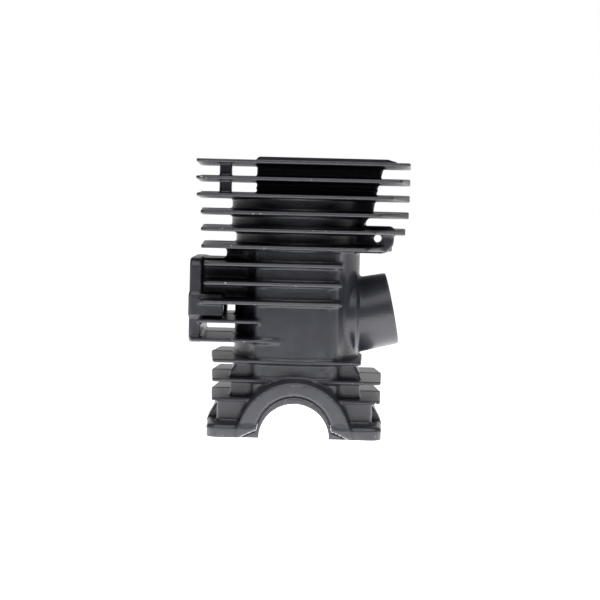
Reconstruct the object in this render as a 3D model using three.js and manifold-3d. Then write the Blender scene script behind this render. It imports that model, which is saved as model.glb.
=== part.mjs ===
// Two-stroke saw cylinder: one die-cast block with the head, the barrel and the upper half of the
// crankcase in one piece, and the piston group that runs in its plated bore.
//
// Frame, in millimetres: Z is the cylinder axis, pointing up at the head. Y is the crankshaft axis.
// X points out of the intake stub, so the exhaust flange faces -X. The origin is where the two axes
// cross, which lies on the flat split face that the lower crankcase half bolts to.

import * as THREE from 'three';
import { mergeVertices } from 'three/addons/utils/BufferGeometryUtils.js';
import Module from 'manifold-3d';

const wasm = await Module();
wasm.setup();

// ---- Driving dimensions ----------------------------------------------------------------------

const BORE_RADIUS = 21;
const STROKE = 32;
const CROWN_HEIGHT = 89.5; // piston crown at top dead centre
const BOTTOM_CENTRE = CROWN_HEIGHT - STROKE; // the crown's height at the end of its stroke
const SQUISH_GAP = 0.8; // crown to the flat ring round the chamber
const CHAMBER = { radius: 15, rise: 7.6 };
const HEAD_TOP = 114.1;

const BARREL = { radius: 26.4, top: 93 };
const CHAMBER_WALL = { radius: 28.4, bottom: 84, top: 97.9 }; // round the combustion chamber
const PANEL = { halfX: 17.8, depth: 26.8, corner: 3, top: 75.5 }; // over the transfer channels
// The upper half of the crankcase, whose sides splay out below the shoulder.
const CASE = { halfX: 26.9, halfY: 21, top: 29.5, shoulder: 25, foot: 15, footHalfX: 32.4 };
// The bulge of its sides round the crankshaft webs, just above the base.
const BULGE = { halfY: 16, halfX: 36.2, top: 12, topHalfX: 32.4, middle: 6, middleHalfX: 35.4 };

// Every fin is thickest in the middle of its depth. There it runs from left to right, and its front
// and back edges run from cornerLeft to cornerRight, where those differ.
const FIN = { edge: 1.4, middle: 2.9 };
const HEAD_DEPTH = 33.5;
const PORT_DEPTH = 32;
const CASE_DEPTH = 27.8;
const FINS = [
  { height: 111.7, depth: HEAD_DEPTH, left: -42.3, right: 46, cornerLeft: -41.9, cornerRight: 44 },
  { height: 104.8, depth: HEAD_DEPTH, left: -42.3, right: 46, cornerLeft: -41.9, cornerRight: 41.3 },
  { height: 97.9, depth: HEAD_DEPTH, left: -42.2, right: 46, cornerLeft: -41.7, cornerRight: 37.6 },
  { height: 90.9, depth: HEAD_DEPTH, left: -41.5, right: 46, cornerLeft: -39.8, cornerRight: 33.3 },
  { height: 83.9, depth: HEAD_DEPTH, left: -40.8, right: 45.4, cornerLeft: -39.6, cornerRight: 30.8 },
  { height: 76.9, depth: HEAD_DEPTH, left: -40.4, right: 40, cornerLeft: -39.4, cornerRight: 28.4 },
  { height: 69.8, depth: PORT_DEPTH, left: -39.7, right: 18.2, cornerLeft: -38 },
  { height: 62, depth: PORT_DEPTH, left: -39.7, right: 18.2, cornerLeft: -38 },
  { height: 54.1, depth: PORT_DEPTH, left: -40.5, right: 18.2, cornerLeft: -39.4 },
  { height: 46.1, depth: CASE_DEPTH, left: -40.7, right: -12, cornerLeft: -40 },
  { height: 38.3, depth: CASE_DEPTH, left: -43.5, right: -10 },
  { height: 29.9, depth: CASE_DEPTH, left: -36.1, right: 28.2, cornerLeft: -34, cornerRight: 26.9 },
  { height: 22, depth: CASE_DEPTH, left: -35.8, right: 36.7, cornerLeft: -34, cornerRight: 35.2 },
  { height: 14.1, depth: CASE_DEPTH, left: -35.8, right: 36.6, cornerLeft: -34, cornerRight: 35.2 },
];

const BASE = { halfX: 37, cornerHalfX: 35.3, halfY: 39.5, height: 5.4 };
const PILLAR = { outer: 31.8, inner: 19, front: 28.8, top: 14 };
const BASE_SCREW = { x: 26.3, y: 23.5, radius: 2.5, depth: 11 };

const SEAL_SEAT = { radius: 14.1, outerFace: 40 }; // crankshaft oil seal, front and back
const SEAL_STEP = { radius: 15.6, rise: 2, depth: 1 }; // rise of its centre above the crankshaft
const BEARING_SEAT = { radius: 17.5, inner: 14, outer: 25.5 };
const RING_BOSS = { radius: 22.9, inner: 18 };
const CRANK_CHAMBER = { radius: 23.5, halfY: 14.5 };

const EXHAUST = { face: -44.5, plate: 4.9, bottom: 36.6, top: 71.7, halfY: 23, corner: 4 };
const EXHAUST_DUCT = { halfY: 12, bottom: BOTTOM_CENTRE, top: 68, wall: 3.4, root: -15 };
const SADDLE = { left: -29.9, halfY: 14, top: 76.9 }; // between the exhaust duct and the sixth fin
const EXHAUST_BOSS = { length: 14, y: 19, halfY: 4.6, bottom: 47.6, top: 56.9 };
const EXHAUST_SCREW = { radius: 2.5, depth: 11 };

const INTAKE = { x: 40.5, z: 51.4, radius: 15.3, tilt: 11.9, draft: 2, length: 22 };
const INTAKE_ROOT = { face: 25.4, radius: 17.6 };
const INTAKE_DUCT = { mouth: 12, throat: 9.8, length: 26, overrun: 1 };

const TRANSFER = { inner: 3, outer: 13, depth: 24.6, foot: 10, top: BOTTOM_CENTRE + 7 };
const PORT_ROOT = 12; // how near the cylinder axis the cuts for the ports reach, well into the bore

const HEAD_BOSS = { left: -17.8, halfY: 17, foot: 86 };
// Its right side, from the barrel's side up to the edge of its flat top.
const HEAD_SIDE = [
  [31, 93],
  [32.2, 101],
  [34.8, 110.5],
  [39.4, HEAD_TOP - 1],
  [36.5, HEAD_TOP],
];
const PLUG = { lean: 12, hole: 6.4, seat: 10.5, seatHeight: 108.8 };

const LUG = { root: 18, right: 40, bottom: 74.9, top: 86.4, corner: 5.5, front: -12, back: -5 };
const LUG_HOLE = { x: 33.3, z: 81.2, radius: 1.7 };
const POST = { left: -32.6, right: -27.7, front: -29.5, back: -23, bottom: 97.9, top: 111.7 };

const CLEARANCE = 0.3; // between neighbouring pieces

const PISTON = { radius: 20.7, skirtBottom: 51.5, crownWall: 4, skirtWall: 2.6, pinDrop: 20 };
const SKIRT_CUT = { halfX: 11.5, inner: 8, top: 61 }; // cut away below the pin at front and back
const PIN_BOSS = { radius: 8, inner: 7.5, inset: 0.4 }; // inset from the skirt's outside
const CROWN_INSET = 0.5;
const PIN = { radius: 5, bore: 3, halfLength: 15.6 };
const CIRCLIP = { radius: 5.9, inner: 4.4, thickness: 1, gap: 50 }; // gap in degrees
const RING = { height: 1.5, depth: 2.2, tops: [86.3, 82.3], gap: 0.5, fit: 0.12 }; // fit in the bore
const PEG = { radius: 0.75, length: 1.4, sunk: 0.6, angles: [150, 210] }; // degrees round from +X

const FINE = 32; // sides of the large rounds
const MEDIUM = 24;
const COARSE = 12;
const DOME_STEPS = 6;
const BEYOND = 1; // how far a cutting tool runs past the face that it opens

// ---- Shapes and solids -----------------------------------------------------------------------

const degrees = THREE.MathUtils.degToRad;

function solidFrom(geometry) {
  geometry.deleteAttribute('normal');
  geometry.deleteAttribute('uv');
  const merged = mergeVertices(geometry, 1e-4);
  const vertProperties = new Float32Array(merged.attributes.position.array);
  const triVerts = new Uint32Array(merged.index.array);
  return new wasm.Manifold(new wasm.Mesh({ numProp: 3, vertProperties, triVerts }));
}

function geometryFrom(solid) {
  const { vertProperties, triVerts } = solid.getMesh();
  const geometry = new THREE.BufferGeometry();
  geometry.setAttribute('position', new THREE.BufferAttribute(new Float32Array(vertProperties), 3));
  geometry.setIndex(new THREE.BufferAttribute(new Uint32Array(triVerts), 1));
  return geometry;
}

function joined(solids) {
  return solids.reduce((whole, solid) => whole.add(solid));
}

function cut(body, tools) {
  return tools.reduce((whole, tool) => whole.subtract(tool), body);
}

function outline(points) {
  return new THREE.Shape(points.map(([x, y]) => new THREE.Vector2(x, y)));
}

function roundedOutline(left, right, front, back, radius) {
  const shape = new THREE.Shape();
  shape.absarc(right - radius, back - radius, radius, 0, Math.PI / 2);
  shape.absarc(left + radius, back - radius, radius, Math.PI / 2, Math.PI);
  shape.absarc(left + radius, front + radius, radius, Math.PI, Math.PI * 1.5);
  shape.absarc(right - radius, front + radius, radius, Math.PI * 1.5, Math.PI * 2);
  return shape;
}

function extruded(shape, depth, curveSegments = 3) {
  return new THREE.ExtrudeGeometry(shape, { depth, bevelEnabled: false, curveSegments });
}

// An outline in XY, from one height to another.
function uprightPrism(shape, bottom, top) {
  return solidFrom(extruded(shape, top - bottom).translate(0, 0, bottom));
}

// An outline in XZ, from front to back along Y.
function deepPrism(shape, front, back) {
  return solidFrom(extruded(shape, back - front, 10).rotateX(Math.PI / 2).translate(0, back, 0));
}

// An outline in YZ, from left to right along X.
function widePrism(shape, left, right) {
  const turned = new THREE.Matrix4().makeBasis(
    new THREE.Vector3(0, 1, 0),
    new THREE.Vector3(0, 0, 1),
    new THREE.Vector3(1, 0, 0),
  );
  return solidFrom(extruded(shape, right - left).applyMatrix4(turned).translate(left, 0, 0));
}

function block(left, right, front, back, bottom, top) {
  const box = new THREE.BoxGeometry(right - left, back - front, top - bottom);
  return solidFrom(box.translate((left + right) / 2, (front + back) / 2, (bottom + top) / 2));
}

function uprightRound(radius, bottom, top, x = 0, y = 0, sides = FINE) {
  const round = new THREE.CylinderGeometry(radius, radius, top - bottom, sides);
  return solidFrom(round.rotateX(Math.PI / 2).translate(x, y, (bottom + top) / 2));
}

function deepRound(radius, front, back, x = 0, z = 0, sides = FINE) {
  const round = new THREE.CylinderGeometry(radius, radius, back - front, sides);
  return solidFrom(round.translate(x, (front + back) / 2, z));
}

function wideRound(radius, left, right, y, z, sides = COARSE) {
  const round = new THREE.CylinderGeometry(radius, radius, right - left, sides);
  return solidFrom(round.rotateZ(Math.PI / 2).translate((left + right) / 2, y, z));
}

// The same solid at the front and at the back.
function frontAndBack(solid) {
  return solid.add(solid.mirror([0, 1, 0]));
}

// ---- The casting -----------------------------------------------------------------------------

// A cooling plate, thickest where the two dies meet and thinner towards both of its edges.
function draftedPlate({ height, depth, left, right, cornerLeft = left, cornerRight = right }) {
  const { edge, middle } = FIN;
  const section = outline([
    [-depth, height - edge / 2],
    [0, height - middle / 2],
    [depth, height - edge / 2],
    [depth, height + edge / 2],
    [0, height + middle / 2],
    [-depth, height + edge / 2],
  ]);
  const plan = outline([
    [left, 0],
    [cornerLeft, -depth],
    [cornerRight, -depth],
    [right, 0],
    [cornerRight, depth],
    [cornerLeft, depth],
  ]);
  const slab = widePrism(section, left, right);
  return slab.intersect(uprightPrism(plan, height - middle, height + middle));
}

// The flat panels over the transfer channels, front and back.
function transferPanels() {
  const { halfX, depth, corner, top } = PANEL;
  return uprightPrism(roundedOutline(-halfX, halfX, -depth, depth, corner), 0, top);
}

// Both sides of an outline in XZ that is given by its right side only, from the bottom up.
function symmetric(rightSide) {
  const leftSide = rightSide.map(([x, z]) => [-x, z]).reverse();
  return outline([...rightSide, ...leftSide]);
}

function crankcaseHalf() {
  const { halfX, halfY, top, shoulder, foot, footHalfX } = CASE;
  const body = symmetric([
    [footHalfX, 0],
    [footHalfX, foot],
    [halfX, shoulder],
    [halfX, top],
  ]);
  const bulge = symmetric([
    [BULGE.halfX, 0],
    [BULGE.middleHalfX, BULGE.middle],
    [BULGE.topHalfX, BULGE.top],
  ]);
  const { radius, inner } = RING_BOSS;
  const above = block(-radius - 1, radius + 1, -SEAL_SEAT.outerFace, -inner, 0, radius + 1);
  const ring = deepRound(radius, -SEAL_SEAT.outerFace, -inner).intersect(above);
  const flange = outline([
    [-BASE.halfX, 0],
    [-BASE.cornerHalfX, -BASE.halfY],
    [BASE.cornerHalfX, -BASE.halfY],
    [BASE.halfX, 0],
    [BASE.cornerHalfX, BASE.halfY],
    [-BASE.cornerHalfX, BASE.halfY],
  ]);
  const pillar = block(PILLAR.inner, PILLAR.outer, -PILLAR.front, 0, 0, PILLAR.top);
  return joined([
    deepPrism(body, -halfY, halfY),
    deepPrism(bulge, -BULGE.halfY, BULGE.halfY),
    frontAndBack(ring),
    uprightPrism(flange, 0, BASE.height),
    frontAndBack(pillar.add(pillar.mirror([1, 0, 0]))),
  ]);
}

// The boss round the combustion chamber and the plug, leaning towards the intake side.
function headBoss() {
  const { left, halfY, foot } = HEAD_BOSS;
  const side = outline([[left, foot], [BARREL.radius, foot], ...HEAD_SIDE, [left, HEAD_TOP]]);
  return deepPrism(side, -halfY, halfY);
}

function exhaustSide() {
  const { face, plate, bottom, top, halfY, corner } = EXHAUST;
  const { halfY: ductHalf, bottom: ductFloor, top: ductRoof, wall, root } = EXHAUST_DUCT;
  const flange = roundedOutline(-halfY, halfY, bottom, top, corner);
  const { length, y, halfY: bossHalf, bottom: bossFoot, top: bossTop } = EXHAUST_BOSS;
  const boss = block(face, face + length, -y - bossHalf, -y + bossHalf, bossFoot, bossTop);
  const duct = [-ductHalf - wall, ductHalf + wall, ductFloor - wall, ductRoof + wall];
  return joined([
    widePrism(flange, face, face + plate),
    block(face, root, ...duct),
    block(SADDLE.left, root, -SADDLE.halfY, SADDLE.halfY, ductRoof, SADDLE.top),
    frontAndBack(boss),
  ]);
}

// A round about the intake axis, from its outer end inwards.
function intakeRound(outerRadius, innerRadius, length, overrun, sides) {
  const { x, z, tilt } = INTAKE;
  const round = new THREE.CylinderGeometry(outerRadius, innerRadius, length, sides);
  round.translate(0, overrun - length / 2, 0).rotateZ(degrees(tilt - 90)).rotateX(Math.PI / 2);
  return solidFrom(round.translate(x, 0, z));
}

// A drafted round stub, tilted up, that the rubber intake boot slips over.
function intakeStub() {
  const { x, z, radius, tilt, draft, length } = INTAKE;
  const rootRadius = radius + length * Math.tan(degrees(draft));
  const stub = intakeRound(radius, rootRadius, length, 0, FINE);
  const rootHeight = z - (x - INTAKE_ROOT.face) * Math.tan(degrees(tilt));
  return stub.add(wideRound(INTAKE_ROOT.radius, 0, INTAKE_ROOT.face, 0, rootHeight, FINE));
}

function lugAndPost() {
  const { root, right, bottom, top, corner, front, back } = LUG;
  const lug = outline([
    [right, top],
    [root, top],
    [root, bottom],
  ]);
  lug.absarc(right - corner, bottom + corner, corner, -Math.PI / 2, 0);
  const post = block(POST.left, POST.right, POST.front, POST.back, POST.bottom, POST.top);
  return deepPrism(lug, front, back).add(post);
}

function combustionChamber() {
  const floor = CROWN_HEIGHT + SQUISH_GAP;
  const sphere = (CHAMBER.radius ** 2 + CHAMBER.rise ** 2) / (2 * CHAMBER.rise);
  const centre = floor + CHAMBER.rise - sphere;
  const sweep = Math.asin(CHAMBER.radius / sphere);
  const dome = [new THREE.Vector2(0, floor - BEYOND), new THREE.Vector2(CHAMBER.radius, floor - BEYOND)];
  for (let step = DOME_STEPS; step > 0; step--) {
    const angle = (sweep * step) / DOME_STEPS;
    dome.push(new THREE.Vector2(sphere * Math.sin(angle), centre + sphere * Math.cos(angle)));
  }
  dome.push(new THREE.Vector2(0, floor + CHAMBER.rise));
  return solidFrom(new THREE.LatheGeometry(dome, MEDIUM).rotateX(Math.PI / 2));
}

function gasPassages() {
  const { halfY, bottom, top } = EXHAUST_DUCT;
  const exhaust = block(EXHAUST.face - BEYOND, -PORT_ROOT, -halfY, halfY, bottom, top);
  const { mouth, throat, length, overrun } = INTAKE_DUCT;
  const { inner, outer, depth, foot, top: roof } = TRANSFER;
  const channel = block(inner, outer, -depth, -PORT_ROOT, foot, roof);
  return [
    uprightRound(BORE_RADIUS, BEYOND, CROWN_HEIGHT + SQUISH_GAP),
    combustionChamber(),
    exhaust,
    intakeRound(mouth, throat, length, overrun, MEDIUM),
    frontAndBack(channel.add(channel.mirror([1, 0, 0]))),
  ];
}

function crankshaftSeats() {
  const { radius, outerFace } = SEAL_SEAT;
  const { inner, outer, radius: bearing } = BEARING_SEAT;
  const beyond = outerFace + BEYOND;
  const { radius: step, rise, depth } = SEAL_STEP;
  return [
    deepRound(CRANK_CHAMBER.radius, -CRANK_CHAMBER.halfY, CRANK_CHAMBER.halfY),
    deepRound(radius, -beyond, beyond),
    frontAndBack(deepRound(bearing, -outer, -inner)),
    frontAndBack(deepRound(step, -beyond, depth - outerFace, 0, rise)),
  ];
}

function plugHole() {
  const { lean, hole, seat, seatHeight } = PLUG;
  const chamberTop = CROWN_HEIGHT + SQUISH_GAP + CHAMBER.rise;
  const start = -3 * BEYOND;
  const seatStart = seatHeight - chamberTop;
  const end = HEAD_TOP + 4 * BEYOND - chamberTop;
  const bore = new THREE.CylinderGeometry(hole, hole, end - start, MEDIUM);
  const counterbore = new THREE.CylinderGeometry(seat, seat, end - seatStart, MEDIUM);
  bore.translate(0, (end + start) / 2, 0);
  counterbore.translate(0, (end + seatStart) / 2, 0);
  return [bore, counterbore].map((tool) =>
    solidFrom(tool.rotateZ(degrees(-lean)).rotateX(Math.PI / 2).translate(0, 0, chamberTop)),
  );
}

function screwHoles() {
  const { face } = EXHAUST;
  const bossHeight = (EXHAUST_BOSS.bottom + EXHAUST_BOSS.top) / 2;
  const holes = [-1, 1].flatMap((side) => {
    const { x, y, radius, depth } = BASE_SCREW;
    const { radius: size, depth: reach } = EXHAUST_SCREW;
    return [
      uprightRound(radius, -BEYOND, depth, -x, side * y, COARSE),
      uprightRound(radius, -BEYOND, depth, x, side * y, COARSE),
      wideRound(size, face - BEYOND, face + reach, side * EXHAUST_BOSS.y, bossHeight),
    ];
  });
  const { x, z, radius } = LUG_HOLE;
  return [...holes, deepRound(radius, LUG.front - BEYOND, LUG.back + BEYOND, x, z, COARSE)];
}

function cylinderCasting() {
  const outside = joined([
    uprightRound(BARREL.radius, 0, BARREL.top),
    uprightRound(CHAMBER_WALL.radius, CHAMBER_WALL.bottom, CHAMBER_WALL.top),
    transferPanels(),
    crankcaseHalf(),
    headBoss(),
    exhaustSide(),
    intakeStub(),
    lugAndPost(),
    ...FINS.map(draftedPlate),
  ]);
  return cut(outside, [...crankshaftSeats(), ...gasPassages(), ...plugHole(), ...screwHoles()]);
}

// ---- The piston group ------------------------------------------------------------------------

const PIN_HEIGHT = CROWN_HEIGHT - PISTON.pinDrop;
const CLIP_START = PIN.halfLength + CLEARANCE;

function pinBosses() {
  const { radius, skirtBottom } = PISTON;
  const { radius: size, inner, inset } = PIN_BOSS;
  const housing = deepRound(size, -radius, -inner, 0, PIN_HEIGHT, MEDIUM);
  const web = block(-size, size, -radius, -inner, PIN_HEIGHT, CROWN_HEIGHT - CROWN_INSET);
  const limit = uprightRound(radius - inset, skirtBottom, CROWN_HEIGHT - CROWN_INSET);
  return frontAndBack(housing.add(web)).intersect(limit);
}

function pistonBody() {
  const { radius, skirtBottom, crownWall, skirtWall } = PISTON;
  const beyond = radius + BEYOND;
  const hollow = uprightRound(radius - skirtWall, skirtBottom - BEYOND, CROWN_HEIGHT - crownWall);
  const shell = uprightRound(radius, skirtBottom, CROWN_HEIGHT).subtract(hollow);
  const { halfX, inner, top } = SKIRT_CUT;
  const clipEnd = CLIP_START + CIRCLIP.thickness + CLEARANCE;
  const grooveRadius = CIRCLIP.radius + CLEARANCE;
  const clipGroove = deepRound(grooveRadius, CLIP_START - CLEARANCE, clipEnd, 0, PIN_HEIGHT, MEDIUM);
  return cut(shell.add(pinBosses()), [
    frontAndBack(block(-halfX, halfX, -beyond, -inner, skirtBottom - BEYOND, top)),
    deepRound(PIN.radius + CLEARANCE, -beyond, beyond, 0, PIN_HEIGHT, MEDIUM),
    frontAndBack(clipGroove),
    ...RING.tops.map(ringGroove),
    ...RING.tops.map(pegPocket),
  ]);
}

const GROOVE_FLOOR = PISTON.radius - RING.depth - CLEARANCE;

function ringGroove(top) {
  const bottom = top - RING.height - CLEARANCE;
  const band = uprightRound(PISTON.radius + BEYOND, bottom, top + CLEARANCE);
  return band.subtract(uprightRound(GROOVE_FLOOR, bottom - BEYOND, top + BEYOND));
}

// The peg that keeps a ring from turning stands in the groove, in the gap of its ring, a little
// round from the middle of the exhaust side.
function pegAt(top, radius, from, to) {
  const peg = new THREE.CylinderGeometry(radius, radius, to - from, COARSE);
  const angle = degrees(PEG.angles[RING.tops.indexOf(top)]);
  peg.rotateZ(-Math.PI / 2).translate((from + to) / 2, 0, 0).rotateZ(angle);
  return solidFrom(peg.translate(0, 0, top - RING.height / 2));
}

function pegPocket(top) {
  const floor = GROOVE_FLOOR - PEG.sunk - CLEARANCE;
  return pegAt(top, PEG.radius + CLEARANCE / 2, floor, GROOVE_FLOOR + BEYOND);
}

function ringPeg(top) {
  const foot = GROOVE_FLOOR - PEG.sunk;
  return pegAt(top, PEG.radius, foot, foot + PEG.length);
}

function pistonRing(top) {
  const outer = BORE_RADIUS - RING.fit;
  const bottom = top - RING.height;
  const hole = uprightRound(PISTON.radius - RING.depth, bottom - BEYOND, top + BEYOND);
  const halfGap = RING.gap + PEG.radius;
  const gap = block(0, outer + BEYOND, -halfGap, halfGap, bottom - BEYOND, top + BEYOND);
  const turn = PEG.angles[RING.tops.indexOf(top)];
  return uprightRound(outer, bottom, top).subtract(hole).subtract(gap.rotate([0, 0, turn]));
}

function gudgeonPin() {
  const { radius, bore, halfLength } = PIN;
  const bar = deepRound(radius, -halfLength, halfLength, 0, PIN_HEIGHT, MEDIUM);
  const beyond = halfLength + BEYOND;
  return bar.subtract(deepRound(bore, -beyond, beyond, 0, PIN_HEIGHT, MEDIUM));
}

// A flat spring clip, open at the bottom, beyond each end of the pin.
function circlip(side) {
  const { radius, inner, thickness, gap } = CIRCLIP;
  const open = degrees(gap / 2);
  const start = -Math.PI / 2 + open;
  const end = Math.PI * 1.5 - open;
  const shape = new THREE.Shape();
  shape.absarc(0, PIN_HEIGHT, radius, start, end);
  shape.absarc(0, PIN_HEIGHT, inner, end, start, true);
  const near = side * CLIP_START;
  const far = side * (CLIP_START + thickness);
  return deepPrism(shape, Math.min(near, far), Math.max(near, far));
}

// ---- Materials and scene graph ---------------------------------------------------------------

function finish(color, roughness, metalness) {
  return new THREE.MeshStandardMaterial({ color, roughness, metalness });
}

const BLACK_COAT = finish(0x2b2c30, 0.55, 0.2);
const PISTON_ALLOY = finish(0x9a9b9c, 0.4, 0.9);
const RING_IRON = finish(0x4c4d50, 0.35, 0.95);
const HARD_STEEL = finish(0x8d8f93, 0.2, 1);
const SPRING_STEEL = finish(0x5a5c60, 0.35, 1);

function piece(name, solid, material) {
  const mesh = new THREE.Mesh(geometryFrom(solid), material);
  mesh.name = name;
  return mesh;
}

const pistonGroup = new THREE.Group();
pistonGroup.add(
  piece('piston', pistonBody(), PISTON_ALLOY),
  piece('piston_ring_upper', pistonRing(RING.tops[0]), RING_IRON),
  piece('piston_ring_lower', pistonRing(RING.tops[1]), RING_IRON),
  piece('ring_peg_upper', ringPeg(RING.tops[0]), HARD_STEEL),
  piece('ring_peg_lower', ringPeg(RING.tops[1]), HARD_STEEL),
  piece('gudgeon_pin', gudgeonPin(), HARD_STEEL),
  piece('circlip_front', circlip(-1), SPRING_STEEL),
  piece('circlip_rear', circlip(1), SPRING_STEEL),
);

const cylinder = new THREE.Group();
cylinder.add(piece('cylinder_casting', cylinderCasting(), BLACK_COAT), pistonGroup);

export default cylinder;
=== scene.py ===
"""Looks for a two-stroke saw cylinder: one black-coated die casting with its piston group inside.

The casting is modelled as a distance field, in millimetres, because that is how a die casting is
shaped: every inner corner is filled to a radius and every outer edge is rounded. Seats and holes
are cut from the field with crisper edges, and then it's turned into a mesh. The piston is made so
too. Rings, pegs, pin and circlips are swept profiles.

Frame: Z up the cylinder axis, Y along the crankshaft, X out of the intake stub, and Z = 0 on the
split face. Lengths in this script are in millimetres until a mesh is written, in metres.
"""

import math

import bmesh
import bpy
import numpy as np
import openvdb
from mathutils import Matrix, Vector


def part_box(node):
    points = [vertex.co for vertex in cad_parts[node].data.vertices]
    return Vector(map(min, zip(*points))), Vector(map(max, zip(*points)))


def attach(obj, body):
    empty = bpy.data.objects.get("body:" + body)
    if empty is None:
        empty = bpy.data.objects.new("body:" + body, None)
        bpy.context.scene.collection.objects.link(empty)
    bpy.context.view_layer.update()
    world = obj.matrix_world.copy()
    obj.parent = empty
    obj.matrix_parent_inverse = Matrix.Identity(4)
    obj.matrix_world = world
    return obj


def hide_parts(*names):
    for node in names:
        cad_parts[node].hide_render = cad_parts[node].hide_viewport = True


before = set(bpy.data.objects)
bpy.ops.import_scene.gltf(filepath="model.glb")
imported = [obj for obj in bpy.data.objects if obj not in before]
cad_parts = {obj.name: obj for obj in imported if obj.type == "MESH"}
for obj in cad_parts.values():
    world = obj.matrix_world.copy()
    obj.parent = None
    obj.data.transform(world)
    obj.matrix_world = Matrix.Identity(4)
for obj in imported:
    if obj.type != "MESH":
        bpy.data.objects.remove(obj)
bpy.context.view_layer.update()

MM = 0.001

# ---- Dimensions taken from the frame -------------------------------------------------------------


def box_mm(node):
    """Lowest and highest corner of a CAD node, in millimetres."""
    low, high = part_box(node)
    return np.array(low) / MM, np.array(high) / MM


CASTING_LOW, CASTING_HIGH = box_mm("cylinder_casting")
PISTON_LOW, PISTON_HIGH = box_mm("piston")
PIN_LOW, PIN_HIGH = box_mm("gudgeon_pin")
CLIP_LOW, CLIP_HIGH = box_mm("circlip_rear")

HEAD_TOP = CASTING_HIGH[2]
END_FACE = CASTING_HIGH[1]
EXHAUST_FACE = CASTING_LOW[0]
CROWN = PISTON_HIGH[2]
PIN_HEIGHT = (PIN_LOW[2] + PIN_HIGH[2]) / 2

# ---- Dimensions of the casting -------------------------------------------------------------------

BORE_RADIUS = 21.0
STROKE = 32.0
SQUISH_GAP = 0.8
BORE_TOP = CROWN + SQUISH_GAP
BOTTOM_CENTRE = CROWN - STROKE
CHAMBER_RADIUS, CHAMBER_RISE = 15.0, 7.6

BARREL_RADIUS, BARREL_TOP = 26.4, 93.0
CHAMBER_WALL_RADIUS, CHAMBER_WALL_BOTTOM, CHAMBER_WALL_TOP = 28.4, 84.0, 97.9
PANEL_HALF_X, PANEL_DEPTH, PANEL_CORNER, PANEL_TOP = 17.8, 26.8, 4.5, 75.5

FIN_EDGE, FIN_MIDDLE = 1.5, 3.0
FIN_CORNER = 1.6
FIN_ROUND = 0.38
FIN_FILLET = 1.2
DIE_STEP = 0.2  # how much lower the front die's half of a top face is cast than the back die's
HEAD_DEPTH, PORT_DEPTH, CASE_DEPTH = 33.5, 32.0, 27.8
FINS = (  # height, half depth, left and right end, ends of the front edge, where it starts to fade
    (111.7, HEAD_DEPTH, -42.3, 47.0, -41.9, 44.4, None),
    (104.8, HEAD_DEPTH, -42.3, 47.0, -41.9, 41.5, None),
    (97.9, HEAD_DEPTH, -42.2, 47.0, -41.6, 37.8, None),
    (90.9, HEAD_DEPTH, -41.5, 46.8, -39.8, 33.4, None),
    (83.9, HEAD_DEPTH, -40.8, 45.5, -39.6, 30.9, None),
    (76.9, HEAD_DEPTH, -40.4, 40.0, -39.4, 28.4, None),
    (69.8, PORT_DEPTH, -39.7, 18.4, -38.0, 18.4, None),
    (62.0, PORT_DEPTH, -39.7, 18.4, -38.0, 18.4, None),
    (54.1, PORT_DEPTH, -40.5, 18.4, -39.4, 18.4, None),
    (46.1, CASE_DEPTH, -40.7, -15.4, -40.0, -15.4, -18.5),
    (38.3, CASE_DEPTH, -43.5, -6.0, -43.5, -6.0, -17.5),
    (29.9, CASE_DEPTH, -36.1, 28.3, -34.0, 26.9, None),
    (22.0, CASE_DEPTH, -35.8, 36.8, -34.0, 35.2, None),
    (14.1, CASE_DEPTH, -35.8, 36.7, -34.1, 35.2, None),
)
FADE_SLOPE = 0.1

CASE_HALF_Y = 21.0
CASE_SIDES = ((32.4, 0), (32.4, 15), (26.9, 25), (26.9, 29.5))
BULGE_HALF_Y = 16.0
BULGE_SIDES = ((36.9, 0), (36.4, 4.0), (35.4, 7.0), (34.1, 9.4), (32.2, 12))
BASE_HALF_X, BASE_CORNER_X, BASE_HALF_Y, BASE_HEIGHT = 37.0, 35.4, 39.5, 5.4
PILLAR_OUTER, PILLAR_INNER, PILLAR_FRONT, PILLAR_TOP = 31.8, 19.0, 28.8, 14.0
SCREW_X, SCREW_Y, SCREW_HOLE, SCREW_DEPTH = 26.3, 23.5, 2.5, 11.0

RING_RADIUS, SEAL_RADIUS = 22.9, 14.1
STEP_RADIUS, STEP_RISE, STEP_DEPTH, UNDERCUT = 15.6, 2.0, 1.0, 0.7
STEP_FLARE = ((25.0, -1.5), (21.7, 0.6), (17.4, 2.7), (15.0, 3.4))  # right side of the step's foot
BROKEN_COAT = ((14.7, 6.0), (15.1, 3.6), (17.4, 2.7), (21.7, 0.6))  # where the coat came off
BEARING_RADIUS, BEARING_INNER, BEARING_OUTER = 17.5, 14.0, 25.5
CRANK_RADIUS, CRANK_HALF_Y = 23.5, 14.5

FLANGE_PLATE, FLANGE_BOTTOM, FLANGE_TOP, FLANGE_HALF_Y = 4.9, 36.6, 71.7, 23.0
FLANGE_CORNER = 4.0
DUCT_HALF_Y, DUCT_TOP, DUCT_WALL, DUCT_ROOT = 12.0, 68.0, 3.4, -15.0
SADDLE_LEFT, SADDLE_HALF_Y, SADDLE_TOP = -29.9, 14.0, 76.9
EXHAUST_BOSS_LENGTH, EXHAUST_BOSS_Y, EXHAUST_BOSS_HALF_Y = 14.0, 19.0, 4.6
EXHAUST_BOSS_BOTTOM, EXHAUST_BOSS_TOP = 47.6, 56.9

STUB_X, STUB_Z, STUB_RADIUS, STUB_LENGTH = 40.5, 51.4, 15.3, 22.0
STUB_TILT, STUB_DRAFT = math.radians(11.9), math.radians(2)
STUB_MOUTH, STUB_THROAT, STUB_REACH = 12.0, 9.8, 26.0
STUB_ROOT_FACE, STUB_ROOT_RADIUS = 25.4, 17.6

TRANSFER_INNER, TRANSFER_OUTER, TRANSFER_DEPTH, TRANSFER_FOOT = 3.0, 13.0, 24.6, 10.0
PORT_ROOT = 12.0

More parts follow.
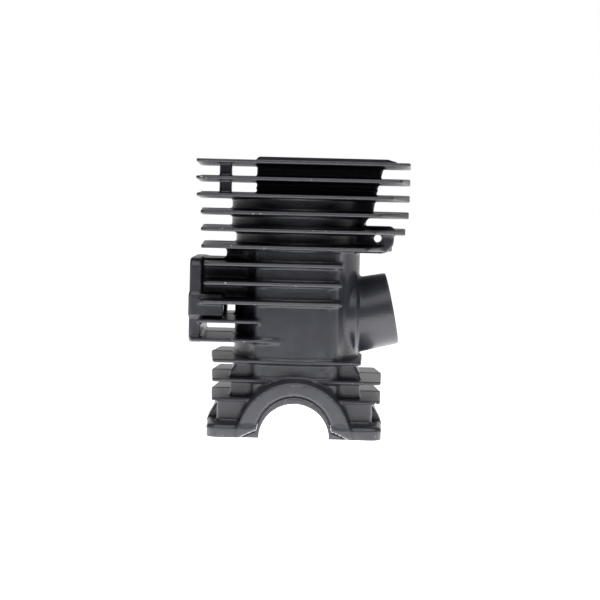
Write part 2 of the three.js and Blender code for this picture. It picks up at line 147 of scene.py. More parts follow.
HEAD_LEFT, HEAD_HALF_Y, HEAD_FOOT = -17.8, 17.0, 86.0
HEAD_SIDE = ((31.0, 93.0), (32.2, 101.0), (34.8, 110.5), (39.4, HEAD_TOP - 1), (36.5, HEAD_TOP))
PLUG_LEAN, PLUG_HOLE, PLUG_SEAT, PLUG_SEAT_HEIGHT = math.radians(12), 6.4, 10.5, 108.8

LUG_ROOT, LUG_RIGHT, LUG_BOTTOM, LUG_TOP = 18.0, 40.0, 74.9, 86.4
LUG_FRONT, LUG_BACK, LUG_CORNER = -12.0, -5.0, 5.5
LUG_HOLE_X, LUG_HOLE_Z, LUG_HOLE = 33.3, 81.2, 1.7
POST_LEFT, POST_RIGHT, POST_FRONT, POST_BACK = -32.6, -27.7, -29.5, -23.0

# ---- Dimensions of the piston group --------------------------------------------------------------

PISTON_RADIUS, PISTON_FOOT = PISTON_HIGH[0], PISTON_LOW[2]
CROWN_WALL, SKIRT_WALL = 4.0, 2.6
PIN_RADIUS, PIN_BORE, PIN_END = (PIN_HIGH[0] - PIN_LOW[0]) / 2, 3.0, PIN_HIGH[1]
BOSS_RADIUS, BOSS_INNER = 8.0, 7.5
SKIRT_CUT_HALF_X, SKIRT_CUT_INNER, SKIRT_CUT_TOP = 11.5, 8.0, 61.0
RING_DEPTH, RING_OUTER = 2.2, BORE_RADIUS - 0.12
RING_HALF_GAP = 1.25
CLIP_RADIUS, CLIP_INNER, CLIP_HALF_GAP = 5.9, 4.4, math.radians(25)
PEG_RADIUS, PEG_ROOT, PEG_END = 0.75, 17.6, 19.0
PEG_ANGLES = {"upper": math.radians(150), "lower": math.radians(210)}
CLEARANCE = 0.3

# ---- Distance fields -----------------------------------------------------------------------------

FAR = 9.0


class Shape:
    """A solid as a distance function of x, y and z, with the box that holds it."""

    def __init__(self, low, high, distance):
        self.low = np.array(low, float)
        self.high = np.array(high, float)
        self.distance = distance


class Field:
    """Signed distance to a surface on a grid of points, negative inside the material."""

    def __init__(self, low, high, step):
        self.low = np.array(low, float)
        self.step = np.array(step, float)
        counts = np.ceil((np.array(high) - self.low) / self.step).astype(int) + 1
        self.values = np.full(counts, FAR, np.float32)

    def window(self, shape, margin):
        """The part of the grid near a shape, as slices and as x, y and z values."""
        first = np.floor((shape.low - margin - self.low) / self.step).astype(int)
        last = np.ceil((shape.high + margin - self.low) / self.step).astype(int) + 1
        first = np.clip(first, 0, self.values.shape)
        last = np.clip(last, 0, self.values.shape)
        axes = [
            (self.low[i] + self.step[i] * np.arange(first[i], last[i])).astype(np.float32)
            for i in range(3)
        ]
        x, y, z = np.meshgrid(*axes, indexing="ij", sparse=True)
        return tuple(slice(a, b) for a, b in zip(first, last)), x, y, z

    def add(self, shape, fillet=0.0):
        """Joins a shape on, with a fillet of that radius where it meets what is there."""
        where, x, y, z = self.window(shape, fillet + 2.0)
        self.values[where] = soft_min(self.values[where], shape.distance(x, y, z), fillet)

    def cut(self, shape, edge=0.0):
        """Cuts a shape out, with the edge that it leaves rounded to that radius."""
        where, x, y, z = self.window(shape, edge + 2.0)
        tool = shape.distance(x, y, z)
        self.values[where] = -soft_min(-self.values[where], tool, edge)

    def sample(self, points):
        """The distance at points, an array of n by 3, between the grid's own."""
        place = (points - self.low) / self.step
        place = np.clip(place, 0, np.array(self.values.shape) - 1.001)
        cell = place.astype(int)
        part = place - cell
        total = np.zeros(len(points))
        for corner in np.ndindex(2, 2, 2):
            weight = np.prod(np.where(corner, part, 1 - part), axis=1)
            i, j, k = (cell + corner).T
            total += weight * self.values[i, j, k]
        return total


def soft_min(a, b, radius):
    """The lesser of two distances, with a round fillet where they are equal."""
    least = np.minimum(a, b)
    if radius == 0:
        return least
    near_a = np.maximum(radius - a, 0)
    near_b = np.maximum(radius - b, 0)
    return np.maximum(least, radius) - np.hypot(near_a, near_b)


def rounded(a, b, radius):
    """Where two distances are both negative, with the edge between them rounded."""
    a = a + radius
    b = b + radius
    outside = np.hypot(np.maximum(a, 0), np.maximum(b, 0))
    return outside + np.minimum(np.maximum(a, b), 0) - radius


def slab(value, low, high):
    return np.abs(value - (low + high) / 2) - (high - low) / 2


def convex(u, v, points):
    """Distance to a convex outline, whose points run anticlockwise."""
    nearest = None
    for (u0, v0), (u1, v1) in zip(points, points[1:] + points[:1]):
        length = math.hypot(u1 - u0, v1 - v0)
        side = ((u - u0) * (v1 - v0) - (v - v0) * (u1 - u0)) / length
        nearest = side if nearest is None else np.maximum(nearest, side)
    return nearest


def block(left, right, front, back, bottom, top, corner=0.6, edge=0.6):
    """A box. corner rounds its upright edges, and edge rounds the others."""

    def distance(x, y, z):
        plan = rounded(slab(x, left, right), slab(y, front, back), corner)
        return rounded(plan, slab(z, bottom, top), edge)

    return Shape((left, front, bottom), (right, back, top), distance)


def upright_round(radius, bottom, top, x0=0.0, y0=0.0, edge=0.0):
    def distance(x, y, z):
        return rounded(np.hypot(x - x0, y - y0) - radius, slab(z, bottom, top), edge)

    return Shape((x0 - radius, y0 - radius, bottom), (x0 + radius, y0 + radius, top), distance)


def deep_round(radius, front, back, x0=0.0, z0=0.0, edge=0.0):
    def distance(x, y, z):
        return rounded(np.hypot(x - x0, z - z0) - radius, slab(y, front, back), edge)

    return Shape((x0 - radius, front, z0 - radius), (x0 + radius, back, z0 + radius), distance)


def wide_round(radius, left, right, y0, z0, edge=0.0):
    def distance(x, y, z):
        return rounded(np.hypot(y - y0, z - z0) - radius, slab(x, left, right), edge)

    return Shape((left, y0 - radius, z0 - radius), (right, y0 + radius, z0 + radius), distance)


def deep_prism(points, front, back, edge):
    """A convex outline of x and z, between two places along Y."""
    points = list(points)
    xs, zs = zip(*points)

    def distance(x, y, z):
        return rounded(convex(x, z, points), slab(y, front, back), edge)

    return Shape((min(xs), front, min(zs)), (max(xs), back, max(zs)), distance)


def mirrored(shape):
    """The same shape on the other side of the plane Y = 0."""
    low = (shape.low[0], -shape.high[1], shape.low[2])
    high = (shape.high[0], -shape.low[1], shape.high[2])
    return Shape(low, high, lambda x, y, z: shape.distance(x, -y, z))


def leaning_round(radius, start, end, centre, lean, taper=0.0):
    """A round bar along an axis that leans in the plane Y = 0, from start to end along it.

    lean is the axis's angle from +Z towards +X. taper is how much the radius grows for each
    millimetre towards the start.
    """
    along = np.array((math.sin(lean), math.cos(lean)))

    def distance(x, y, z):
        u = (x - centre[0]) * along[0] + (z - centre[1]) * along[1]
        w = (x - centre[0]) * along[1] - (z - centre[1]) * along[0]
        size = radius + taper * (end - u)
        side = (np.hypot(y, w) - size) * math.cos(math.atan(taper))
        return rounded(side, slab(u, start, end), 0.5)

    reach = radius + abs(taper) * (end - start)
    ends = [np.array(centre) + along * t for t in (start, end)]
    low_x, low_z = np.minimum(*ends) - reach
    high_x, high_z = np.maximum(*ends) + reach
    return Shape((low_x, -reach, low_z), (high_x, reach, high_z), distance)


# ---- The casting ---------------------------------------------------------------------------------


def die_step(y):
    """How much lower the front half of a top face lies: the two dies meet at Y = 0."""
    return DIE_STEP * np.clip(0.5 - y / 0.5, 0, 1)


def cooling_plate(height, half_depth, left, right, corner_left, corner_right, fade):
    """A drafted cooling plate: widest and thickest at the dies' parting plane, Y = 0."""
    left_length = math.hypot(half_depth, corner_left - left)
    right_length = math.hypot(half_depth, right - corner_right)

    def distance(x, y, z):
        depth = np.abs(y)
        left_side = ((left - x) * half_depth + depth * (corner_left - left)) / left_length
        right_side = ((x - right) * half_depth + depth * (right - corner_right)) / right_length
        front = depth - half_depth
        if fade is not None:
            front = front + FADE_SLOPE * np.maximum(x - fade, 0)
        plan = rounded(np.maximum(left_side, right_side), front, FIN_CORNER)
        thickness = FIN_EDGE + (FIN_MIDDLE - FIN_EDGE) * np.clip(1 - depth / half_depth, 0, 1)
        faces = np.maximum(z - height + die_step(y), height - z) - thickness / 2
        return rounded(plan, faces, FIN_ROUND)

    low = (left, -half_depth, height - FIN_MIDDLE / 2)
    return Shape(low, (right, half_depth, height + FIN_MIDDLE / 2), distance)


def symmetric(right_side):
    """The whole outline of x and z whose right side is given from the bottom up."""
    return list(right_side) + [(-x, z) for x, z in reversed(right_side)]


def head_boss():
    """The boss round the chamber and the plug, whose right side leans and flares out at the top.

    That side is hollow at two of its points, so the boss is made of three convex parts.
    """
    shoulder, waist, brow = HEAD_SIDE[:3]
    foot = [(HEAD_LEFT, HEAD_FOOT), (BARREL_RADIUS, HEAD_FOOT)]
    lower = [*foot, shoulder, waist, (HEAD_LEFT, waist[1])]
    middle = [(HEAD_LEFT, waist[1]), waist, brow, (HEAD_LEFT, brow[1])]
    top_left = [(HEAD_LEFT + 0.7, HEAD_TOP), (HEAD_LEFT, HEAD_TOP - 0.7)]
    upper = [(HEAD_LEFT, brow[1]), *HEAD_SIDE[2:], *top_left]
    parts = [deep_prism(side, -HEAD_HALF_Y, HEAD_HALF_Y, 1.6) for side in (lower, middle, upper)]

    def distance(x, y, z):
        total = parts[0].distance(x, y, z)
        for part in parts[1:]:
            total = soft_min(total, part.distance(x, y, z), 1.0)
        return total

    low_corner = (HEAD_LEFT, -HEAD_HALF_Y, HEAD_FOOT)
    return Shape(low_corner, (HEAD_SIDE[3][0], HEAD_HALF_Y, HEAD_TOP), distance)


def add_body(field):
    """The barrel, the crankcase half and the covers of the transfer channels."""
    field.add(upright_round(BARREL_RADIUS, 0, BARREL_TOP))
    wall = upright_round(CHAMBER_WALL_RADIUS, CHAMBER_WALL_BOTTOM, CHAMBER_WALL_TOP, edge=2.5)
    field.add(wall, 1.5)
    field.add(head_boss(), 2.0)
    field.add(deep_prism(symmetric(CASE_SIDES), -CASE_HALF_Y, CASE_HALF_Y, 1.2), 1.5)
    panels = (-PANEL_HALF_X, PANEL_HALF_X, -PANEL_DEPTH, PANEL_DEPTH, 0, PANEL_TOP)
    field.add(block(*panels, PANEL_CORNER, 1.0), 3.0)


def add_exhaust_side(field):
    duct_floor = BOTTOM_CENTRE - DUCT_WALL
    duct_roof = DUCT_TOP + DUCT_WALL
    half = DUCT_HALF_Y + DUCT_WALL
    field.add(block(EXHAUST_FACE, DUCT_ROOT, -half, half, duct_floor, duct_roof, 0, 2.0), 2.0)
    saddle = (SADDLE_LEFT, DUCT_ROOT, -SADDLE_HALF_Y, SADDLE_HALF_Y, DUCT_TOP, SADDLE_TOP)
    field.add(block(*saddle, 2.0, 1.5), 2.0)

    def plate(x, y, z):
        width = slab(y, -FLANGE_HALF_Y, FLANGE_HALF_Y)
        outline = rounded(width, slab(z, FLANGE_BOTTOM, FLANGE_TOP), FLANGE_CORNER)
        return rounded(outline, slab(x, EXHAUST_FACE, EXHAUST_FACE + FLANGE_PLATE), 0.8)

    low = (EXHAUST_FACE, -FLANGE_HALF_Y, FLANGE_BOTTOM)
    high = (EXHAUST_FACE + FLANGE_PLATE, FLANGE_HALF_Y, FLANGE_TOP)
    field.add(Shape(low, high, plate), 1.5)
    front, back = -EXHAUST_BOSS_Y - EXHAUST_BOSS_HALF_Y, -EXHAUST_BOSS_Y + EXHAUST_BOSS_HALF_Y
    ends = (EXHAUST_FACE, EXHAUST_FACE + EXHAUST_BOSS_LENGTH)
    boss = block(*ends, front, back, EXHAUST_BOSS_BOTTOM, EXHAUST_BOSS_TOP, 1.2, 0.8)
    field.add(boss, 1.2)
    field.add(mirrored(boss), 1.2)


def add_intake_side(field):
    """The drafted stub that the intake boot slips over, and its wider root on the barrel."""
    lean = math.pi / 2 - STUB_TILT
    root_z = STUB_Z - (STUB_X - STUB_ROOT_FACE) * math.tan(STUB_TILT)
    field.add(wide_round(STUB_ROOT_RADIUS, 4, STUB_ROOT_FACE, 0, root_z, edge=1.2), 1.6)
    end = (STUB_X, STUB_Z)
    stub = leaning_round(STUB_RADIUS, -STUB_LENGTH, 0, end, lean, taper=math.tan(STUB_DRAFT))
    field.add(stub, 1.4)


def base_flange():
    """The base flange, a little wider at the dies' parting plane than at its front and back."""
    draft = (BASE_HALF_X - BASE_CORNER_X) / BASE_HALF_Y

    def distance(x, y, z):
        side = (np.abs(x) - BASE_HALF_X + draft * np.abs(y)) * math.cos(math.atan(draft))
        plan = rounded(side, np.abs(y) - BASE_HALF_Y, 4.0)
        return rounded(plan, slab(z, -3, BASE_HEIGHT), 1.9)

    low = (-BASE_HALF_X, -BASE_HALF_Y, -3)
    return Shape(low, (BASE_HALF_X, BASE_HALF_Y, BASE_HEIGHT), distance)


def case_bulge():
    """The swell of the crankcase's sides round the crankshaft webs."""
    points = symmetric(BULGE_SIDES)

    def distance(x, y, z):
        sides = convex(x, z + die_step(y), points)
        return rounded(sides, np.abs(y) - BULGE_HALF_Y, 1.0)

    half_x, top = BULGE_SIDES[0][0], BULGE_SIDES[-1][1]
    return Shape((-half_x, -BULGE_HALF_Y, 0), (half_x, BULGE_HALF_Y, top), distance)


def add_crankshaft_ends(field):
    """The half rings round the crankshaft seats, the base flange and its screw pillars."""
    field.add(base_flange(), 1.2)
    field.add(case_bulge(), 1.2)
    for left, right in ((-PILLAR_OUTER, -PILLAR_INNER), (PILLAR_INNER, PILLAR_OUTER)):
        field.add(block(left, right, -PILLAR_FRONT, PILLAR_FRONT, 0, PILLAR_TOP, 1.3, 0.6), 1.0)
    ring = deep_round(RING_RADIUS, -END_FACE, -18, edge=0.7)
    field.add(ring, 1.6)
    field.add(mirrored(ring), 1.6)


def drilled_lug():
    """The lug under the head's intake end, whose outer lower corner is round."""

    def distance(x, y, z):
        lower = rounded(x - LUG_RIGHT, LUG_BOTTOM - z, LUG_CORNER)
        upper = rounded(x - LUG_RIGHT, z - LUG_TOP, 1.8)
        outline = np.maximum(np.maximum(lower, upper), LUG_ROOT - x)
        return rounded(outline, slab(y, LUG_FRONT, LUG_BACK), 0.9)

    low = (LUG_ROOT, LUG_FRONT, LUG_BOTTOM)
    return Shape(low, (LUG_RIGHT, LUG_BACK, LUG_TOP), distance)


def add_lug_and_post(field):
    field.add(drilled_lug(), 1.1)
    low, high = FINS[2][0], FINS[0][0]
    field.add(block(POST_LEFT, POST_RIGHT, POST_FRONT, POST_BACK, low, high, 1.0, 0.6), 0.9)


def combustion_chamber():
    sphere = (CHAMBER_RADIUS**2 + CHAMBER_RISE**2) / (2 * CHAMBER_RISE)
    centre = BORE_TOP + CHAMBER_RISE - sphere

    def distance(x, y, z):
        ball = np.sqrt(x * x + y * y + (z - centre) ** 2) - sphere
        return np.maximum(ball, BORE_TOP - 1 - z)

    low = (-CHAMBER_RADIUS, -CHAMBER_RADIUS, BORE_TOP - 1)
    return Shape(low, (CHAMBER_RADIUS, CHAMBER_RADIUS, BORE_TOP + CHAMBER_RISE), distance)


def exhaust_port():
    """The exhaust duct, whose corners are rounded."""

    def distance(x, y, z):
        mouth = rounded(slab(y, -DUCT_HALF_Y, DUCT_HALF_Y), slab(z, BOTTOM_CENTRE, DUCT_TOP), 3.0)
        return np.maximum(mouth, slab(x, EXHAUST_FACE - 3, -PORT_ROOT))

    low = (EXHAUST_FACE - 3, -DUCT_HALF_Y, BOTTOM_CENTRE)
    return Shape(low, (-PORT_ROOT, DUCT_HALF_Y, DUCT_TOP), distance)


def cut_gas_passages(field):
    field.cut(upright_round(BORE_RADIUS, -4, BORE_TOP), 0.3)
    field.cut(combustion_chamber(), 0.4)
    field.cut(exhaust_port(), 0.4)
    lean = math.pi / 2 - STUB_TILT
    flare = (STUB_THROAT - STUB_MOUTH) / STUB_REACH
    overrun = 2.0
    mouth = STUB_MOUTH - flare * overrun
    end = (STUB_X, STUB_Z)
    field.cut(leaning_round(mouth, overrun - STUB_REACH, overrun, end, lean, taper=flare), 0.6)
    for side_x in (-1, 1):
        ends = sorted((side_x * TRANSFER_INNER, side_x * TRANSFER_OUTER))
        top = BOTTOM_CENTRE + 7
        channel = block(*ends, -TRANSFER_DEPTH, -PORT_ROOT, TRANSFER_FOOT, top, 1.5, 1.5)
        field.cut(channel, 0.4)
        field.cut(mirrored(channel), 0.4)


def step_outline(x, z):
    """Distance to the outline of the step round the seal seat, which flares out at its foot."""
    arch = np.hypot(x, z - STEP_RISE) - STEP_RADIUS
    return soft_min(arch, convex(x, z, symmetric(STEP_FLARE)), 0.8)


def seal_step():
    """The step round the seal seat, with a narrow undercut along its foot."""
    floor = -END_FACE + STEP_DEPTH

    def distance(x, y, z):
        outline = step_outline(x, z)
        step = np.maximum(outline, slab(y, -END_FACE - 3, floor))
        band = np.abs(outline + UNDERCUT / 2) - UNDERCUT / 2
        return np.minimum(step, np.maximum(band, slab(y, -END_FACE - 3, floor + UNDERCUT)))

    half_x = STEP_FLARE[0][0]
    top = STEP_RISE + STEP_RADIUS
    return Shape((-half_x, -END_FACE - 3, -3), (half_x, floor + UNDERCUT, top), distance)


def cut_crankshaft_seats(field):
    field.cut(deep_round(CRANK_RADIUS, -CRANK_HALF_Y, CRANK_HALF_Y), 0.3)
    field.cut(deep_round(SEAL_RADIUS, -END_FACE - 3, END_FACE + 3), 0.3)
    bearing = deep_round(BEARING_RADIUS, -BEARING_OUTER, -BEARING_INNER)
    for shape in (bearing, seal_step()):
        field.cut(shape, 0.15)
        field.cut(mirrored(shape), 0.15)


def cut_holes(field):
    chamber_top = BORE_TOP + CHAMBER_RISE
    centre = (0.0, chamber_top)
    height = HEAD_TOP + 6 - chamber_top
    field.cut(leaning_round(PLUG_HOLE, -4, height, centre, PLUG_LEAN), 0.5)
    seat = PLUG_SEAT_HEIGHT - chamber_top
    field.cut(leaning_round(PLUG_SEAT, seat, height, centre, PLUG_LEAN), 0.4)
    boss_z = (EXHAUST_BOSS_BOTTOM + EXHAUST_BOSS_TOP) / 2
    for side_y in (-1, 1):
        for side_x in (-1, 1):
            place = (side_x * SCREW_X, side_y * SCREW_Y)
            field.cut(upright_round(SCREW_HOLE, -4, SCREW_DEPTH, *place), 0.4)
        y0 = side_y * EXHAUST_BOSS_Y
        field.cut(wide_round(SCREW_HOLE, EXHAUST_FACE - 3, EXHAUST_FACE + 11, y0, boss_z), 0.4)
    field.cut(deep_round(LUG_HOLE, LUG_FRONT - 3, LUG_BACK + 3, LUG_HOLE_X, LUG_HOLE_Z), 0.35)


def casting_field(step):
    margin = 2.5
    field = Field(CASTING_LOW - margin, CASTING_HIGH + margin, step)
    add_body(field)
    add_exhaust_side(field)
    add_intake_side(field)
    add_crankshaft_ends(field)
    for fin in FINS:
        field.add(cooling_plate(*fin), FIN_FILLET)
    add_lug_and_post(field)
    cut_gas_passages(field)
    cut_crankshaft_seats(field)
    cut_holes(field)
    field.cut(block(-60, 60, -60, 60, -20, 0, 0, 0), 0.25)
    return field


# ---- From field to mesh --------------------------------------------------------------------------

EDGE_TURN = math.radians(28)  # a face turned more than this from the field's slope is at an edge


def field_mesh(name, field, faces):
    """A mesh of the field's surface in metres, thinned to about that many triangles."""
    band = 3 * float(max(field.step))
    grid = openvdb.FloatGrid(band)
    grid.copyFromArray(np.clip(field.values, -band, band))
    points, triangles, quads = grid.convertToPolygons(isovalue=0.0, adaptivity=0.004)
    points = (points * field.step + field.low) * MM
    mesh = bpy.data.meshes.new(name)
    polygons = [tuple(p[::-1]) for p in triangles.tolist() + quads.tolist()]
    mesh.from_pydata(points.tolist(), [], polygons)
    mesh.validate()
    piece = bpy.data.objects.new(name, mesh)
    bpy.context.scene.collection.objects.link(piece)
    count = len(triangles) + 2 * len(quads)
    if count > faces:
        thin = piece.modifiers.new("thin", "DECIMATE")
        thin.ratio = faces / count
        apply_modifiers(piece)
    return piece


def apply_modifiers(piece):
    """Replaces a piece's mesh by what its modifiers make of it."""
    graph = bpy.context.evaluated_depsgraph_get()
    mesh = bpy.data.meshes.new_from_object(piece.evaluated_get(graph))
    old = piece.data
    piece.modifiers.clear()
    piece.data = mesh
    name = old.name
    bpy.data.meshes.remove(old)
    mesh.name = name


def vertices_of(mesh):
    values = np.empty(len(mesh.vertices) * 3, np.float32)
    mesh.vertices.foreach_get("co", values)
    return values.reshape(-1, 3).astype(float)


def face_centres(mesh):
    values = np.empty(len(mesh.polygons) * 3, np.float32)
    mesh.polygons.foreach_get("center", values)
    return values.reshape(-1, 3) / MM


def face_normals(mesh):
    values = np.empty(len(mesh.polygons) * 3, np.float32)
    mesh.polygons.foreach_get("normal", values)
    return values.reshape(-1, 3)


def field_gradient(field, points, reach):
    axes = np.eye(3) * reach
    slopes = [field.sample(points + axis) - field.sample(points - axis) for axis in axes]
    return np.stack(slopes, 1)


def shade_from_field(piece, field):
    """Smooth normals from the field's slope, except where a face turns away from it at an edge."""
    mesh = piece.data
    points = vertices_of(mesh) / MM
    slope = field_gradient(field, points, 0.3)
    slope /= np.maximum(np.linalg.norm(slope, axis=1, keepdims=True), 1e-9)
    corner_vertex = np.empty(len(mesh.loops), np.int32)
    mesh.loops.foreach_get("vertex_index", corner_vertex)
    sides = np.empty(len(mesh.polygons), np.int32)
    mesh.polygons.foreach_get("loop_total", sides)
    own_face = np.repeat(np.arange(len(sides)), sides)
    smooth = slope[corner_vertex]
    flat = face_normals(mesh)[own_face]
    agree = (smooth * flat).sum(1, keepdims=True) > math.cos(EDGE_TURN)
    normals = np.where(agree, smooth, flat)
    mesh.shade_smooth()
    mesh.normals_split_custom_set(normals.tolist())


def store_convexity(piece, field):
    """How sharply each point's surface bends outwards, for the wear along edges and for the painted
    highlight that lightens them.
    """
    points = vertices_of(piece.data) / MM
    reach = 0.5
    axes = np.eye(3) * reach
    around = sum(field.sample(points + axis) + field.sample(points - axis) for axis in axes)
    bend = (around - 6 * field.sample(points)) / reach**2
    layer = piece.data.attributes.new("convexity", "FLOAT", "POINT")
    layer.data.foreach_set("value", np.clip(bend, -2, 2).astype(np.float32))


def mark_machined_faces(piece):
    """Material 1 on the faces that are machined bare, and 2 on the plated bore."""
    mesh = piece.data
    centre = face_centres(mesh)
    normal = face_normals(mesh)
    x, y, z = centre.T
    radius = np.hypot(x, y)
    along_crank = np.hypot(x, z)
    chamber_top = BORE_TOP + CHAMBER_RISE
    across_plug = x * math.cos(PLUG_LEAN) - (z - chamber_top) * math.sin(PLUG_LEAN)
    bare = (z < 0.3) & (normal[:, 2] < -0.7)
    bare |= (x < EXHAUST_FACE + 0.2) & (normal[:, 0] < -0.7)
    bare |= (along_crank < SEAL_RADIUS + 0.15) & (np.abs(y) > 20)
    bare |= (along_crank < BEARING_RADIUS + 0.15) & (np.abs(y) < BEARING_OUTER + 0.15) & (z < 17.6)
    bare |= (along_crank < CRANK_RADIUS + 0.1) & (np.abs(y) < CRANK_HALF_Y + 0.1)
    bare |= (z > 105) & (np.hypot(across_plug, y) < PLUG_SEAT + 0.15) & (z < HEAD_TOP - 0.15)
    bare |= (z > 85) & (radius < CHAMBER_RADIUS + 1) & (z < chamber_top + 8)
    plated = (radius < BORE_RADIUS + 0.12) & (z > 17) & (z < BORE_TOP + 0.2)
    index = np.where(plated, 2, np.where(bare, 1, 0)).astype(np.int32)
    mesh.polygons.foreach_set("material_index", index)


def casting():
    step = ((0.4, 0.4, 0.34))
    field = casting_field(step)
    piece = field_mesh("die_casting", field, 190_000)
    store_convexity(piece, field)
    for material in (black_coat(), machined_alloy(), plated_bore()):
        piece.data.materials.append(material)
    mark_machined_faces(piece)
    shade_from_field(piece, field)
    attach(piece, "cylinder")
    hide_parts("cylinder_casting")
    return piece


# ---- Small pieces --------------------------------------------------------------------------------


def finished_piece(name, builder, material, body, bevel=0.0):
    """An object from a bmesh in millimetres, with its sharp edges rounded off by bevel."""
    builder.transform(Matrix.Scale(MM, 4))
    bmesh.ops.recalc_face_normals(builder, faces=builder.faces)
    mesh = bpy.data.meshes.new(name)
    builder.to_mesh(mesh)
    builder.free()
    piece = bpy.data.objects.new(name, mesh)
    bpy.context.scene.collection.objects.link(piece)
    if bevel:
        round_off = piece.modifiers.new("bevel", "BEVEL")
        round_off.width = bevel * MM
        round_off.segments = 2
        round_off.limit_method = "ANGLE"
        apply_modifiers(piece)
    piece.data.shade_smooth()
    piece.data.set_sharp_from_angle(angle=math.radians(32))
    piece.data.materials.append(material)
    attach(piece, body)
    return piece


def swept(sections, closed):
    """A bmesh skin over sections of points, joined end to end or closed with a cap at each end."""
    builder = bmesh.new()
    rows = [[builder.verts.new(point) for point in section] for section in sections]
    pairs = list(zip(rows, rows[1:] + rows[:1])) if closed else list(zip(rows, rows[1:]))
    count = len(rows[0])
    for row, other in pairs:
        for i in range(count):
            j = (i + 1) % count
            builder.faces.new((row[i], row[j], other[j], other[i]))
    if not closed:
        builder.faces.new(rows[0])
        builder.faces.new(rows[-1])
    return builder


def revolved(profile, place, start=0.0, sweep=2 * math.pi, steps=96):
    """Sweeps a profile of radius and height round an axis; place(radius, height, angle) puts it."""
    closed = sweep > 2 * math.pi - 0.01
    angles = [start + sweep * i / steps for i in range(steps if closed else steps + 1)]
    return swept([[place(r, h, a) for r, h in profile] for a in angles], closed)


def round_z(radius, height, angle):
    return (radius * math.cos(angle), radius * math.sin(angle), height)


def round_pin_axis(radius, along, angle):
    return (radius * math.cos(angle), along, PIN_HEIGHT + radius * math.sin(angle))


def tube(inner, outer, low, high):
    return [(inner, low), (outer, low), (outer, high), (inner, high)]


def broken_coat(side_x, side_y):
    """The bright ragged line where the coat broke off the edge of the seal step's foot."""
    route = [Vector((side_x * x, z)) for x, z in BROKEN_COAT]
    sections = []
    for start, end in zip(route, route[1:]):
        steps = max(2, round((end - start).length / 0.25))
        for i in range(steps):
            middle = start.lerp(end, i / steps)
            phase = middle.x * 5.3 + middle.y * 3.1
            middle = middle + Vector((0, 0.12 * math.sin(phase) + 0.07 * math.sin(2.7 * phase)))
            half = 0.09 + 0.05 * math.sin(1.9 * phase) + 0.03 * math.sin(4.1 * phase)
            corners = ((-half, 0.05), (half, 0.05), (half, -0.25), (-half, -0.25))
            aside = (end - start).orthogonal().normalized()
            section = []
            for across, out in corners:
                point = middle + aside * across
                section.append((point.x, side_y * (END_FACE + out), point.y))
            sections.append(section)
    return swept(sections, False)


def add_broken_coat():
    material = metal("broken coat", (0.62, 0.62, 0.63), (0.85, 0.85, 0.86), 0.45)
    for side_y, end in ((-1, "front"), (1, "rear")):
        for side_x, side in ((-1, "exhaust"), (1, "intake")):
            name = f"bare_edge_{end}_{side}"
            finished_piece(name, broken_coat(side_x, side_y), material, "cylinder")


# ---- The piston group ----------------------------------------------------------------------------


def pin_bosses():
    """The housings of the gudgeon pin inside the skirt, with a web up to the crown."""

    def distance(x, y, z):
        housing = np.hypot(x, z - PIN_HEIGHT) - BOSS_RADIUS
        web = np.maximum(np.abs(x) - BOSS_RADIUS, slab(z, PIN_HEIGHT, CROWN - 1))
        solid = np.maximum(np.minimum(housing, web), BOSS_INNER - np.abs(y))
        return np.maximum(solid, np.hypot(x, y) - PISTON_RADIUS + 0.4)

    low = (-BOSS_RADIUS, -PISTON_RADIUS, PIN_HEIGHT - BOSS_RADIUS)
    return Shape(low, (BOSS_RADIUS, PISTON_RADIUS, CROWN), distance)


def ring_groove(low, high):
    floor = PISTON_RADIUS - RING_DEPTH - CLEARANCE

    def distance(x, y, z):
        return np.maximum(floor - np.hypot(x, y), slab(z, low - CLEARANCE, high + CLEARANCE))

    reach = PISTON_RADIUS + 1
    return Shape((-reach, -reach, low - CLEARANCE), (reach, reach, high + CLEARANCE), distance)


def piston_field(step):
    margin = 1.5
    field = Field(PISTON_LOW - margin, PISTON_HIGH + margin, step)
    field.add(upright_round(PISTON_RADIUS, PISTON_FOOT, CROWN, edge=0.4))
    inside = PISTON_RADIUS - SKIRT_WALL
    field.cut(upright_round(inside, PISTON_FOOT - 4, CROWN - CROWN_WALL, edge=2.0), 0.3)
    field.add(pin_bosses(), 1.2)
    across = (-SKIRT_CUT_HALF_X, SKIRT_CUT_HALF_X)
    cutaway = block(*across, -25, -SKIRT_CUT_INNER, PISTON_FOOT - 6, SKIRT_CUT_TOP, 0.0, 3.0)
    field.cut(cutaway, 0.5)
    field.cut(mirrored(cutaway), 0.5)
    field.cut(deep_round(PIN_RADIUS + CLEARANCE, -25, 25, 0, PIN_HEIGHT), 0.3)
    ends = (CLIP_LOW[1] - CLEARANCE, CLIP_HIGH[1] + CLEARANCE)
    clip_groove = deep_round(CLIP_RADIUS + CLEARANCE, *ends, 0, PIN_HEIGHT)
    field.cut(clip_groove, 0.1)
    field.cut(mirrored(clip_groove), 0.1)
    for level in ("upper", "lower"):
        low, high = box_mm(f"piston_ring_{level}")
        field.cut(ring_groove(low[2], high[2]), 0.15)
    return field


def piston():
    field = piston_field(((0.28, 0.28, 0.28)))
    piece = field_mesh("machined_piston", field, 90_000)
    piece.data.materials.append(
        metal("turned piston alloy", (0.40, 0.40, 0.41), (0.58, 0.58, 0.59), 0.42)
    )
    shade_from_field(piece, field)
    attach(piece, "piston_group")
    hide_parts("piston")


